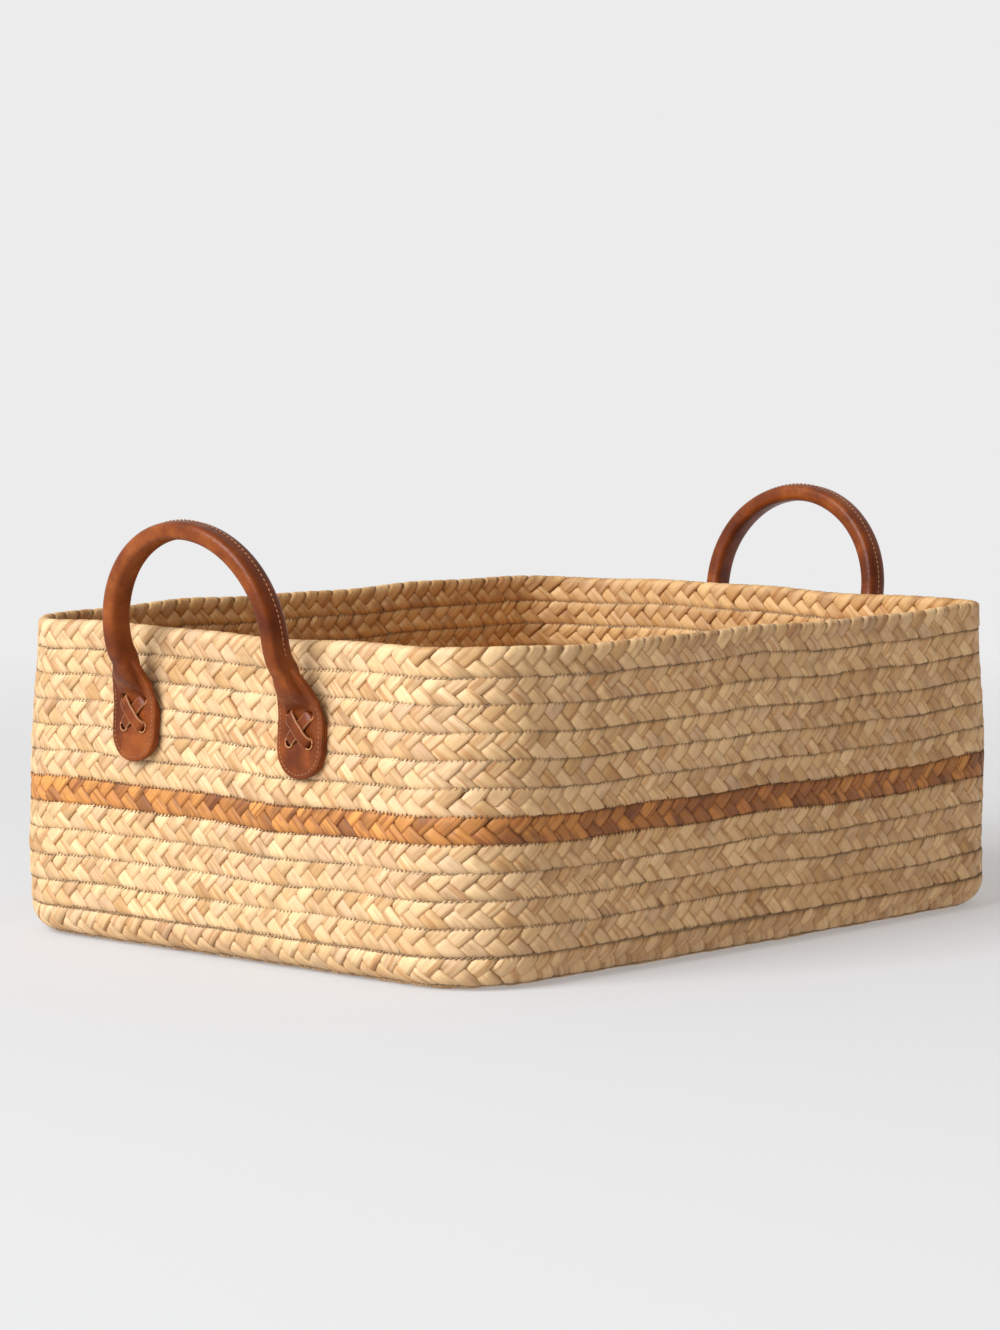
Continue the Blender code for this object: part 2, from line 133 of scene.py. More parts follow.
# Height, and how far the leather has come off the wall there.
PEEL = ((0.0900, 0.0), (0.1180, 0.0), (0.1230, 0.0002), (0.1265, 0.0009), (0.1318, 0.0030),
        (0.1370, 0.0058), (0.1425, 0.0085), (0.1490, 0.0114))
# How the roll fades into the tab: height, back and front from the rim face, width.
LEG_FOOT = ((0.1270, 0.0046, 0.0068, 0.0220), (0.1290, 0.0050, 0.0086, 0.0195),
            (0.1315, 0.0056, 0.0118, 0.0182), (0.1340, 0.0062, 0.0148, 0.0166),
            (0.1370, 0.0068, 0.0174, 0.0146), (0.1405, 0.0072, 0.0194, 0.0124),
            (0.1440, 0.0077, 0.0208, 0.0106), (0.1475, 0.0084, 0.0220, 0.0096))
LACE_HOLE_RADIUS = 0.0025
LACE_WIDTH = 0.0056
LACE_WAIST = 0.0044  # the lace squeezed in its hole
LACE_THICKNESS = 0.0015
LACE_RISE = 0.0010  # middle of the lower lace above the tab
LACE_STEP = 0.0017  # from the lower lace to the upper one
LACE_TAIL = 0.0045
LACE_BEND_RUN = 0.0012  # the lace's turn behind the wall, along the wall
LACE_BEND_RISE = 0.0018  # the same turn, through the wall
LACE_BEHIND_WALL = 0.0022
LACE_DIP = 0.0012  # its middle below the tab's face, in the hole
LACE_SQUARENESS = 0.62
LIP_REACH = 1.06  # radius of a hole's lip over that of the hole
LIP_RADIUS = 0.00042
LIP_LIFT = 0.00022
LEATHER_VOXEL = 0.00048
FACE_BEVEL = 0.0003
BACKING_BEVEL = 0.0005
BACKING_INSET = 0.0005
BACKING_TAPER = 0.0060
LEG_POINTS = 18  # of the arch's path, from the bending line to the rim
ARCH_POINTS = 28  # from the rim to the apex
SEAM_SKIP = 14  # points of that path below the seam's first stitch
CORE_SKIP = 13  # and below the core's end
CORE_ROOM = 0.0009  # gap between core and sleeve, both sides together
CORE_SIDES = 42
CORE_PLIES = 3
CORE_GROOVE = 0.07  # depth of the grooves between plies, a share of the radius
CORE_TWIST = 0.55  # radians a point
SADDLE_PITCH = 0.0027
SADDLE_LENGTH = 0.0019
SADDLE_RADIUS = 0.00036
SEAM_OUTWARD = -0.0008  # the roll's seam lies this far inwards of its widest line
STITCH_PROUD = 0.00002
EDGE_STITCH_INSET = 0.0021
EDGE_STITCH_SIZES = (0.85, 0.80, 0.75)  # pitch, length and radius over the roll's stitches

# ---- stage, light and camera ---------------------------------------------
BACKDROP = (0.84, 0.84, 0.84)
FLOOR_COLOUR = (0.640, 0.615, 0.592)
FLOOR_GLOW = 0.35  # share of the near floor's tone that is its own
FLOOR_FADE = (0.6, 1.6)  # the floor turns into the backdrop between these distances
KEY_PLACE = (-5.0, 0.6, 3.4)
KEY_TARGET = (0.0, 0.0, 0.08)
KEY_SIZE = (3.6, 3.6)
KEY_POWER = 490.0
KEY_COLOUR = (0.94, 1.03, 1.13)
SKY_BEHIND = (0.30, 0.205, 0.130)
SKY_ABOVE = (0.50, 0.50, 0.50)
CAMERA_AZIMUTH = -47.83
CAMERA_ELEVATION = 5.30
CAMERA_TARGET = (0.3567, 0.3348, 0.0800)
CAMERA_DISTANCE = 2.796
CAMERA_LENS = 119.8
CAMERA_SHIFT = 0.0084


# ---- small helpers -------------------------------------------------------
def smoothstep(t):
    t = np.clip(t, 0.0, 1.0)
    return t * t * (3.0 - 2.0 * t)


def unit(vectors):
    return vectors / np.maximum(np.linalg.norm(vectors, axis=-1, keepdims=True), 1e-12)


def lengths_along(path):
    steps = np.linalg.norm(np.diff(path, axis=0), axis=1)
    return np.concatenate([[0.0], np.cumsum(steps)])


def grid_quads(count_u, count_v, close_u, close_v):
    """Corner numbers of the quads between neighbours in a grid of points."""
    u = np.arange(count_u if close_u else count_u - 1)
    v = np.arange(count_v if close_v else count_v - 1)
    u, v = np.meshgrid(u, v, indexing="ij")
    next_u, next_v = (u + 1) % count_u, (v + 1) % count_v
    this, beyond = u * count_v, next_u * count_v
    return np.stack([this + v, beyond + v, beyond + next_v, this + next_v], axis=-1).reshape(-1, 4)


def mesh_from_grid(name, points, close_u, close_v, attributes=None):
    """A mesh of quads from points[u, v]; attributes are arrays of one value a point."""
    count_u, count_v = points.shape[:2]
    values = {key: value.reshape(count_u * count_v, -1)
              for key, value in (attributes or {}).items()}
    quads = grid_quads(count_u, count_v, close_u, close_v)
    return mesh_from_quads(name, points.reshape(-1, 3), quads, values)


def mesh_from_quads(name, points, quads, attributes):
    mesh = bpy.data.meshes.new(name)
    mesh.vertices.add(len(points))
    mesh.vertices.foreach_set("co", points.astype(np.float32).ravel())
    mesh.loops.add(quads.size)
    mesh.loops.foreach_set("vertex_index", quads.astype(np.int32).ravel())
    mesh.polygons.add(len(quads))
    mesh.polygons.foreach_set("loop_start", np.arange(0, quads.size, 4, dtype=np.int32))
    kinds = {1: ("FLOAT", "value"), 3: ("FLOAT_VECTOR", "vector"), 4: ("FLOAT_COLOR", "color")}
    for key, value in attributes.items():
        kind, field = kinds[value.shape[1]]
        layer = mesh.attributes.new(key, kind, "POINT")
        layer.data.foreach_set(field, value.astype(np.float32).ravel())
    mesh.update(calc_edges=True)
    mesh.validate()
    mesh.shade_smooth()
    return mesh


def joined(name, meshes):
    together = bmesh.new()
    for mesh in meshes:
        together.from_mesh(mesh)
        bpy.data.meshes.remove(mesh)
    made = bpy.data.meshes.new(name)
    together.to_mesh(made)
    together.free()
    made.shade_smooth()
    return made


def add_piece(name, mesh, finish, body, replaced=()):
    """Add a visible piece that rides on a body and stands for the CAD nodes in replaced."""
    made = bpy.data.objects.new(name, mesh)
    bpy.context.scene.collection.objects.link(made)
    mesh.materials.clear()
    mesh.materials.append(finish)
    if body:
        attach(made, body)
    if replaced:
        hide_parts(*replaced)
    return made


# ---- materials -----------------------------------------------------------
class Nodes:
    """Short calls for the nodes of a new material or world."""

    def __init__(self, owner):
        owner.use_nodes = True
        self.owner = owner
        self.tree = owner.node_tree
        self.shader = self.tree.nodes.get("Principled BSDF")

    def add(self, kind, **settings):
        node = self.tree.nodes.new("ShaderNode" + kind)
        for key, value in settings.items():
            setattr(node, key, value)
        return node

    def link(self, source, target):
        self.tree.links.new(source, target)

    def feed(self, socket, value):
        """Give a socket a number, a colour or another node's output."""
        if isinstance(value, (int, float)):
            socket.default_value = value
        elif isinstance(value, tuple):
            socket.default_value = (*value, 1.0)
        else:
            self.link(value, socket)

    def feed_all(self, node, **values):
        for key, value in values.items():
            self.feed(node.inputs[key.replace("_", " ")], value)

    def attribute(self, name):
        return self.add("Attribute", attribute_name=name)

    def math(self, operation, a, b):
        node = self.add("Math", operation=operation)
        self.feed(node.inputs[0], a)
        self.feed(node.inputs[1], b)
        return node.outputs[0]

    def scaled(self, vector, scale):
        node = self.add("VectorMath", operation="MULTIPLY")
        self.link(vector, node.inputs[0])
        node.inputs[1].default_value = scale
        return node.outputs[0]

    def noise(self, vector, scale, detail):
        node = self.add("TexNoise")
        self.feed_all(node, Vector=vector, Scale=scale, Detail=detail, Roughness=0.55)
        return node.outputs["Fac"]

    def ramp(self, factor, stops):
        node = self.add("ValToRGB")
        elements = node.color_ramp.elements
        while len(elements) < len(stops):
            elements.new(0.5)
        for element, (place, colour) in zip(elements, stops):
            element.position = place
            element.color = (*colour, 1.0)
        self.link(factor, node.inputs["Fac"])
        return node.outputs["Color"]

    def mix(self, factor, a, b, blend="MIX"):
        node = self.add("Mix", data_type="RGBA", blend_type=blend)
        for number, value in ((0, factor), (6, a), (7, b)):      # the colour sockets are 6 and 7
            self.feed(node.inputs[number], value)
        return node.outputs[2]

    def map(self, value, low, high, new_low, new_high):
        node = self.add("MapRange")
        self.feed_all(node, Value=value, From_Min=low, From_Max=high,
                      To_Min=new_low, To_Max=new_high)
        return node.outputs["Result"]

    def bump(self, height, distance, strength):
        node = self.add("Bump")
        self.feed_all(node, Height=height, Distance=distance, Strength=strength)
        return node.outputs["Normal"]

    def finish(self, colour, roughness, normal, specular):
        self.feed_all(self.shader, Base_Color=colour, Roughness=roughness, Normal=normal,
                      Specular_IOR_Level=specular)
        return self.owner


def leaf_material(name, light, deep, cool, stain_and_crease_shade, crease_shade_depth):
    """Dried leaf: fine fibres along each strand, tones that change from fold to fold, painted shade
    in the creases and on the inner face.
    """
    n = Nodes(bpy.data.materials.new(name))
    leaf = n.attribute("leaf")
    fibre = n.attribute("fibre").outputs["Vector"]
    split = n.add("SeparateColor")
    n.link(leaf.outputs["Color"], split.inputs["Color"])
    tone, hue, crease_shade = split.outputs[0], split.outputs[1], split.outputs[2]
    streaks = n.noise(n.scaled(fibre, (55.0, 1300.0, 9.0)), 1.0, 3.0)
    plies = n.noise(n.scaled(fibre, (14.0, 380.0, 5.0)), 1.0, 1.0)
    blotches = n.noise(n.scaled(fibre, (60.0, 160.0, 3.0)), 1.0, 2.0)
    freckles = n.noise(n.scaled(fibre, (420.0, 900.0, 3.0)), 1.0, 2.0)
    base = n.mix(tone, light, deep)
    base = n.mix(n.math("MULTIPLY", hue, 0.85), base, cool)
    base = n.mix(n.map(blotches, 0.50, 0.72, 0.0, 0.55), base, stain_and_crease_shade)
    base = n.mix(n.map(streaks, 0.30, 0.72, 0.34, 0.0), base, deep, "MULTIPLY")
    base = n.mix(n.map(plies, 0.53, 0.66, 0.0, 0.55), base, deep, "MULTIPLY")
    base = n.mix(n.map(freckles, 0.70, 0.78, 0.0, 0.5), base, stain_and_crease_shade)
    # painted shade: the strands' edges, where they dip into the creases, are darkened towards a
    # dimmed stain colour
    base = n.mix(n.math("MULTIPLY", crease_shade, crease_shade_depth), base, tuple(0.6 * c for c in stain_and_crease_shade))
    # painted shade: the strands' faces towards the basket's inside are darkened and warmed
    base = n.mix(leaf.outputs["Alpha"], base, n.mix(1.0, base, (0.88, 0.78, 0.63), "MULTIPLY"))
    height = n.math("ADD", n.math("MULTIPLY", streaks, 0.45), n.math("MULTIPLY", plies, 1.0))
    rough = n.map(streaks, 0.2, 0.8, 0.50, 0.72)
    return n.finish(base, rough, n.bump(height, 0.00032, 0.7), 0.42)


def leather_material(name, light, mid, dark, cut=None):
    """Vegetable-tanned leather: mottled, with fine grain, painted shade in its folds and pale where
    worn.

    A lace gives the colour of its cut edges; the bent leather has wrinkles and painted shade in
    their troughs and along its outer edge.
    """
    n = Nodes(bpy.data.materials.new(name))
    place = n.add("TexCoord").outputs["Object"]
    clouds = n.noise(place, 46.0, 3.0)
    mottle = n.noise(place, 230.0, 3.0)
    cells = n.add("TexVoronoi", feature="SMOOTH_F1")
    n.feed_all(cells, Vector=place, Scale=1500.0)
    wear_and_fold_shade = n.add("NewGeometry").outputs["Pointiness"]
    base = n.ramp(clouds, [(0.30, dark), (0.52, mid), (0.74, light)])
    base = n.mix(n.map(mottle, 0.42, 0.72, 0.0, 0.25), base, dark)
    base = n.mix(n.map(wear_and_fold_shade, 0.53, 0.62, 0.0, 0.5), base, light)
    # painted shade: darker where the surface is hollow, in folds and creases
    base = n.mix(n.map(wear_and_fold_shade, 0.48, 0.40, 0.0, 0.7), base, tuple(0.3 * c for c in dark))
    height = n.math("ADD", n.math("MULTIPLY", cells.outputs["Distance"], 0.6), mottle)
    if cut:
        edge = n.attribute("cut").outputs["Fac"]
        base = n.mix(n.math("MULTIPLY", edge, 0.8), base, cut)
    else:
        place_on_roll = n.attribute("roll").outputs["Vector"]
        roll = n.add("SeparateXYZ")
        n.link(place_on_roll, roll.inputs[0])
        # painted shade along the roll's outer edge, the side facing away from the light
        outer = n.map(roll.outputs[2], -0.0034, -0.0040, 0.0, 1.0)
        base = n.mix(n.math("MULTIPLY", outer, 0.45), base, dark)
        wrinkle = n.noise(n.scaled(place_on_roll, (620.0, 90.0, 90.0)), 1.0, 2.0)
        height = n.math("ADD", height, n.map(wrinkle, 0.42, 0.60, 0.0, 0.35))
        # painted shade in the wrinkles' troughs
        base = n.mix(n.map(wrinkle, 0.52, 0.36, 0.0, 0.15), base, dark)
    rough = n.map(mottle, 0.3, 0.7, 0.30, 0.42)
    return n.finish(base, rough, n.bump(height, 0.00018, 0.5), 0.20)


def thread_material(name, colour, shade):
    """Twisted thread: a diagonal ply pattern from the distance along it, with painted shade between
    the plies.
    """
    n = Nodes(bpy.data.materials.new(name))
    along = n.attribute("fibre").outputs["Vector"]
    ply = n.add("TexWave", wave_type="BANDS", bands_direction="DIAGONAL")
    n.feed_all(ply, Vector=along, Scale=420.0)
    fuzz = n.noise(along, 1500.0, 2.0)
    # painted shade: shade is the thread's colour as it looks in shade, laid into the ply bands and
    # the fuzz
    base = n.mix(ply.outputs["Fac"], shade, colour)
    base = n.mix(n.map(fuzz, 0.4, 0.8, 0.0, 0.35), base, shade)
    rough = n.map(fuzz, 0.3, 0.7, 0.75, 0.92)
    return n.finish(base, rough, n.bump(ply.outputs["Fac"], 0.00008, 0.6), 0.5)


# ---- the basket's shape --------------------------------------------------
def belly(z):
    """How far the wall bulges out at a height."""
    return BELLY * smoothstep((HEIGHT - z) / (0.5 * HEIGHT))


def long_wall_bow(z):
    """How far the middle of a long wall bows out at a height."""
    return LONG_WALL_BOW_BASE + (LONG_WALL_BOW_RIM - LONG_WALL_BOW_BASE) * z / HEIGHT


def plait_path(distance):
    """Middle of the plait by distance down from the rim: offset, height and tilt."""
    half = ROW_THICKNESS / 2
    bend_radius = EDGE_RADIUS - half
    straight = HEIGHT - EDGE_RADIUS
    wall_z = HEIGHT - distance
    slope = (belly(wall_z - 0.001) - belly(wall_z + 0.001)) / 0.002
    angle = np.clip((distance - straight) / bend_radius, 0.0, math.pi / 2)
    run = np.maximum(distance - straight - bend_radius * math.pi / 2, 0.0)
    on_wall = distance <= straight
    offset = np.where(on_wall, belly(wall_z) - half,
                      BELLY - EDGE_RADIUS + bend_radius * np.cos(angle) - run)
    z = np.where(on_wall, wall_z, EDGE_RADIUS - bend_radius * np.sin(angle))
    tilt = np.where(on_wall, -np.arctan(slope), angle)
    return offset, z, tilt


def ring_length(offset):
    radius = max(CORNER_RADIUS + offset, INNER_CORNER)
    straight_x = LENGTH + 2 * offset - 2 * radius
    straight_y = WIDTH + 2 * offset - 2 * radius
    return 2 * straight_x + 2 * straight_y + 2 * math.pi * radius


def footprint(along, ring_offset, offset, z):
    """Plan position at a distance along the ring at ring_offset, moved out to offset.

    The ring starts at the middle of the +X wall and runs counter-clockwise.
    """
    ring_radius = max(CORNER_RADIUS + ring_offset, INNER_CORNER)
    radius = np.maximum(CORNER_RADIUS + offset, INNER_CORNER)
    half_x, half_y = LENGTH / 2 + offset, WIDTH / 2 + offset
    run_x = LENGTH / 2 + ring_offset - ring_radius
    run_y = WIDTH / 2 + ring_offset - ring_radius
    arc = ring_radius * math.pi / 2
    total = ring_length(ring_offset)
    along = np.mod(along, total)
    x, y = np.zeros_like(along), np.zeros_like(along)
    start = -run_y
    for quarter, length in enumerate((2 * run_y, 2 * run_x) * 2):
        sx, sy = ((1, 1), (-1, 1), (-1, -1), (1, -1))[quarter]
        for lap in (0.0, total):
            here = along - start - lap
            flat = (here >= 0) & (here < length)
            turn = (here >= length) & (here < length + arc)
            share = np.clip(here / length, 0.0, 1.0) * 2 - 1
            if quarter % 2 == 0:
                x = np.where(flat, sx * half_x, x)
                y = np.where(flat, sy * share * (half_y - radius), y)
            else:
                x = np.where(flat, sx * share * (half_x - radius), x)
                y = np.where(flat, sy * half_y, y)
            angle = math.pi / 2 * (quarter + np.clip((here - length) / arc, 0.0, 1.0))
            x = np.where(turn, sx * (half_x - radius) + radius * np.cos(angle), x)
            y = np.where(turn, sy * (half_y - radius) + radius * np.sin(angle), y)
        start += length + arc
    bow = 2.0 * long_wall_bow(z) / WIDTH
    return x, y * (1.0 + bow * np.maximum(0.0, 1.0 - (2.0 * x / LENGTH) ** 2))


def hand_made(along, z, total):
    """Slow unevenness of the hand-sewn wall: outward and upward shifts in metres."""
    turn = 2 * math.pi * along / total
    return [sum(size * np.sin(count * turn + twist * z + start)
                for size, count, twist, start in waves) for waves in (WAVES_OUT, WAVES_UP)]


def on_wall(along, up, out, middle, ring_offset):
    """World points for places on a row: along it, up across it and out from its middle."""
    total = ring_length(ring_offset)
    uneven_out, uneven_up = hand_made(along, HEIGHT - middle, total)
    settle = smoothstep((HEIGHT - middle - CALM_BASE) / CALM_FADE)
    offset, z, tilt = plait_path(middle - up)
    out = out + uneven_out * settle
    offset = offset + out * np.cos(tilt)
    z = z - out * np.sin(tilt) + uneven_up * settle
    x, y = footprint(along, ring_offset, offset, z)
    return np.stack([x, y, z], axis=-1)


# ---- the plait -----------------------------------------------------------
def periodic(values, place):
    """Smoothly joined values round a ring; place counts from 0 to len(values)."""
    count = len(values)
    low = np.floor(place).astype(int)
    share = smoothstep(place - low)
    return values[low % count] * (1 - share) + values[(low + 1) % count] * share


def drifting(rng, count, middle, spread, swing, wave):
    """Random values, one a fold, whose middle drifts slowly along the row."""
    values = rng.normal(middle, spread, count)
    return values + swing * np.sin(rng.uniform(0, 6.28) + np.arange(count) / wave)


def strand(ring_total, periods, number, rng):
    """One strand of a plait: points[u, v] as (along, up, out), with colour and fibre data."""
    reach = ROW_PITCH / 2 + EDGE_OVERLAP - STRAND_THICKNESS / 2 - EDGE_FOLD
    fold = math.pi / 2 * (EDGE_FOLD + LAYER) * FOLD_SLACK
    half_cycle = 2 * reach + fold
    period = ring_total / periods
    slant = math.atan2(2 * half_cycle, period)
    width = STRAND_COVER * period / 3 * math.sin(slant)
    count_u = periods * SAMPLES_PER_PERIOD
    halves = 2 * periods
    u = np.arange(count_u) / SAMPLES_PER_PERIOD * 2          # in half cycles
    across = np.sin(np.linspace(-math.pi / 2, math.pi / 2, STRAND_POINTS))
    width_jitter, lift, slide = (periodic(rng.normal(0.0, size, halves), u)
                                 for size in (WIDTH_JITTER, LIFT_JITTER, SLIDE_JITTER))
    v = across[None, :] * (width / 2 * (1 + width_jitter))[:, None]
    flat = (u * half_cycle)[:, None] - v * math.cos(slant)   # distance across the unfolded plait
    along = (u * period / 2 + slide)[:, None] + v * math.sin(slant) + number * period / 3
    lap = np.floor((flat + reach) / half_cycle)
    local = flat - lap * half_cycle
    side = np.where(lap % 2 == 0, 1.0, -1.0)
    rise = (2 * local * math.cos(slant) + v) / CLIMB + CLIMB_START
    out_flat = LAYER * (2 * smoothstep(rise) - 1)
    turn = np.clip((local - reach) / fold, 0.0, 1.0) * math.pi
    round_out = LAYER * np.sign(np.cos(turn)) * np.abs(np.cos(turn)) ** FOLD_SQUARENESS
    round_up = reach + EDGE_FOLD * np.abs(np.sin(turn)) ** FOLD_SQUARENESS
    folding = local > reach
    up = side * np.where(folding, round_up, local)
    out = np.where(folding, round_out, out_flat) + lift[:, None]
    middle = np.stack([along, up, out], axis=-1)
    du = np.roll(middle, -1, axis=0) - np.roll(middle, 1, axis=0)
    du[..., 0] = np.mod(du[..., 0] + ring_total / 2, ring_total) - ring_total / 2
    dv = np.gradient(middle, axis=1)
    normal = unit(np.cross(du, dv))
    half = (1 - np.abs(across) ** SECTION_SQUARENESS) ** (1 / SECTION_SQUARENESS)
    raised = normal * (STRAND_THICKNESS / 2 * half)[None, :, None]
    back = slice(-2, 0, -1)                                  # the under face, edges left out
    points = np.concatenate([middle + raised, (middle - raised)[:, back]], axis=1)

    tones = np.clip(drifting(rng, halves, *TONES), 0.0, 1.0)
    hues = np.clip(drifting(rng, halves, *HUES), 0.0, 1.0)
    tones = np.where(rng.random(halves) < DARK_FOLDS, DARK_TONE, tones)
    lobe = np.floor(u + 0.4).astype(int) % halves            # the fold that a point belongs to
    full_v = np.concatenate([v, v[:, back]], axis=1)
    edge = np.abs(np.concatenate([across, across[back]]))
    shape = points.shape[:2]
    colour = np.zeros((*shape, 4))
    colour[..., 0] = tones[lobe][:, None]
    colour[..., 1] = hues[lobe][:, None]
    # blue: painted shade at the strand's edges, in the creases
    colour[..., 2] = smoothstep((edge[None, :] - 0.80) / 0.25)
    # alpha: share of the plait's inner face, for painted shade inside the basket
    colour[..., 3] = smoothstep(0.5 - points[..., 2] / LAYER)
    fibre = np.zeros((*shape, 3))
    fibre[..., 0] = (u * half_cycle / math.sin(slant))[:, None]
    fibre[..., 1] = full_v
    fibre[..., 2] = number * 1.7 + rng.random() * 40
    return points, colour, fibre


def plaited_row(node, number, finish):
    """Three strands round the basket, which stand for one CAD row."""
    rng = np.random.default_rng(100 + number)
    middle = row_middle(number)
    ring_offset = float(plait_path(np.array(middle))[0])
    total = ring_length(ring_offset)
    periods = max(round(total / STRAND_PERIOD), 2)
    points, colours, fibres, quads = [], [], [], []
    phase = rng.uniform(0, STRAND_PERIOD)
    for k in range(3):
        grid, colour, fibre = strand(total, periods, k, rng)
        world = on_wall(grid[..., 0] + phase, grid[..., 1], grid[..., 2], middle, ring_offset)
        if number == ACCENT_ROW:
            shaded = smoothstep((-world[..., 1] - DYE_SHADE_START) / DYE_SHADE_FADE)
            colour[..., 0] += DYE_SHADE * shaded
        count_u, count_v = world.shape[:2]
        quads.append(k * count_u * count_v + grid_quads(count_u, count_v, True, True))
        points.append(world.reshape(-1, 3))
        colours.append(colour.reshape(-1, 4))
        fibres.append(fibre.reshape(-1, 3))
    mesh = mesh_from_quads("plaited_" + node, np.concatenate(points), np.concatenate(quads),
                           {"leaf": np.concatenate(colours), "fibre": np.concatenate(fibres)})
    add_piece("plaited_" + node, mesh, finish, "basket", [node])


def row_middle(number):
    """Distance from the rim down the wall, round the edge and in, to the middle of a row."""
    rows_round_edge = min(max(number - WALL_ROWS + 1, 0), 2)
    return (number - 0.5) * ROW_PITCH + EDGE_SLACK * rows_round_edge


def plait_all(natural, dyed):
    for number in range(1, WALL_ROWS + BASE_ROWS + 1):
        on_base = number > WALL_ROWS
        node = f"base_row_{number - WALL_ROWS:02d}" if on_base else f"wall_row_{number:02d}"
        finish, slot = natural, "natural_fibre"
        if number == ACCENT_ROW:
            finish, slot = dyed, "dyed_fibre"
        plaited_row(node, number, finish)


# ---- sewing --------------------------------------------------------------
def tube(path, radius, sides, closed):
    """Round tube along path[n, 3], as grid points [n, sides] with distance data."""
    if closed:
        tangent = np.roll(path, -1, axis=0) - np.roll(path, 1, axis=0)
    else:
        tangent = np.gradient(path, axis=0)
    tangent = unit(tangent)
    aside = unit(np.cross(tangent, np.array([0.13, 0.21, 0.97])))     # along none of the paths
    other = np.cross(tangent, aside)
    angles = 2 * math.pi * np.arange(sides) / sides
    ring = (np.cos(angles)[None, :, None] * aside[:, None]
            + np.sin(angles)[None, :, None] * other[:, None])
    radii = np.broadcast_to(radius, len(path))
    fibre = np.zeros((len(path), sides, 3))
    fibre[..., 0] = lengths_along(path)[:, None]
    fibre[..., 1] = radii.mean() * angles[None, :]
    return path[:, None] + ring * radii[:, None, None], fibre


def seam(name, number, finish, face):
    """Zigzag machine stitches that bridge the groove below a row; face is 1 outside, -1 inside."""
    middle = number * ROW_PITCH + (EDGE_SLACK if number >= WALL_ROWS else 0.0)
    ring_offset = float(plait_path(np.array(middle))[0])
    total = ring_length(ring_offset)
    stitches = round(total / STITCH_PITCH)
    place = np.arange(stitches * STITCH_STEPS) / STITCH_STEPS
    phase = np.mod(place, 1.0)
    reach = STITCH_REACH * (1.0 if face > 0 else STITCH_REACH_INSIDE)
    up = -reach * np.cos(2 * math.pi * phase)
    surface = LAYER + STRAND_THICKNESS / 2 - STITCH_SINK
    out = face * (surface - STITCH_DIVE * smoothstep((np.abs(phase - 0.25) - 0.22) / 0.28))
    slant = STITCH_SLANT * np.sin(2 * math.pi * phase)
    path = on_wall((place + slant) * total / stitches, up, out, middle, ring_offset)
    points, fibre = tube(path, THREAD_RADIUS, 5, True)
    mesh = mesh_from_grid(name, points, True, True, {"fibre": fibre})
    replaced = [f"seam_thread_{number:02d}"] if face > 0 and number < WALL_ROWS else []
    add_piece(name, mesh, finish, "basket", replaced)


def sew_all(finish, dark_finish):
    """Stitches in every groove; the two beside the dyed row are in dark thread."""
    for number in range(1, WALL_ROWS + BASE_ROWS):
        thread = dark_finish if number in (ACCENT_ROW - 1, ACCENT_ROW) else finish
        seam(f"seam_stitches_{number:02d}", number, thread, 1)
        seam(f"seam_stitches_inside_{number:02d}", number, thread, -1)


# ---- leather, drawn for the handle at +X and turned round for the other --
def turned(points, side):
    return points if side > 0 else points * np.array([-1.0, -1.0, 1.0])


def tabs_of(label, side):
    """Each leg's sign along Y in the drawn handle, with the first part of its pieces' names."""
    for leg in (-1, 1):
        end = "front" if leg * side < 0 else "rear"
        yield leg, f"{label}_{end}"


def swept(path, aside, widths, thicknesses, squareness, sides):
    """Bar along path[n, 3] with a rounded section and closed ends.

    aside is the direction of its width; returns points[n, sides] and how much of each
    point's place is on the narrow sides.
    """
    tangent = unit(np.gradient(path, axis=0))
    normal = unit(np.cross(aside, tangent))
    aside = np.cross(tangent, normal)
    angle = 2 * math.pi * (np.arange(sides) + 0.5) / sides
    power = 2.0 / squareness
    across = np.sign(np.cos(angle)) * np.abs(np.cos(angle)) ** power / 2
    through = np.sign(np.sin(angle)) * np.abs(np.sin(angle)) ** power / 2
    points = (path[:, None] + aside[:, None] * (widths[:, None] * across)[..., None]
              + normal[:, None] * (thicknesses[:, None] * through)[..., None])
    ends = [np.repeat(path[k][None, None], sides, axis=1) for k in (0, -1)]
    points = np.concatenate([ends[0], points, ends[1]])
    narrow = np.broadcast_to(smoothstep((np.abs(across) * 2 - 0.80) / 0.15), points.shape[:2])
    return points, narrow


def tab_slope():
    """Run over rise of the tabs, which lie along the wall's bulge."""
    return (belly(TAB_BOTTOM_Z) - belly(TAB_TOP_Z)) / (TAB_TOP_Z - TAB_BOTTOM_Z)


def tab_back_offset(z):
    """Distance from the rim's plane to the back of a tab at a height."""
    middle = 0.5 * (TAB_BOTTOM_Z + TAB_TOP_Z)
    return belly(middle) + 2.0 * ROW_GAP + tab_slope() * (middle - z)


def on_tab(leg, along, up, out):
    """World points of the +X handle from places on a tab, measured from its lacing's middle."""
    tilt = math.atan(tab_slope())
    x = LENGTH / 2 + tab_back_offset(LACE_CENTRE_Z) - up * math.sin(tilt) + out * math.cos(tilt)
    y = leg * TAB_SPREAD + along
    z = LACE_CENTRE_Z + up * math.cos(tilt) + out * math.sin(tilt)
    return np.stack(np.broadcast_arrays(x, y, z), axis=-1)


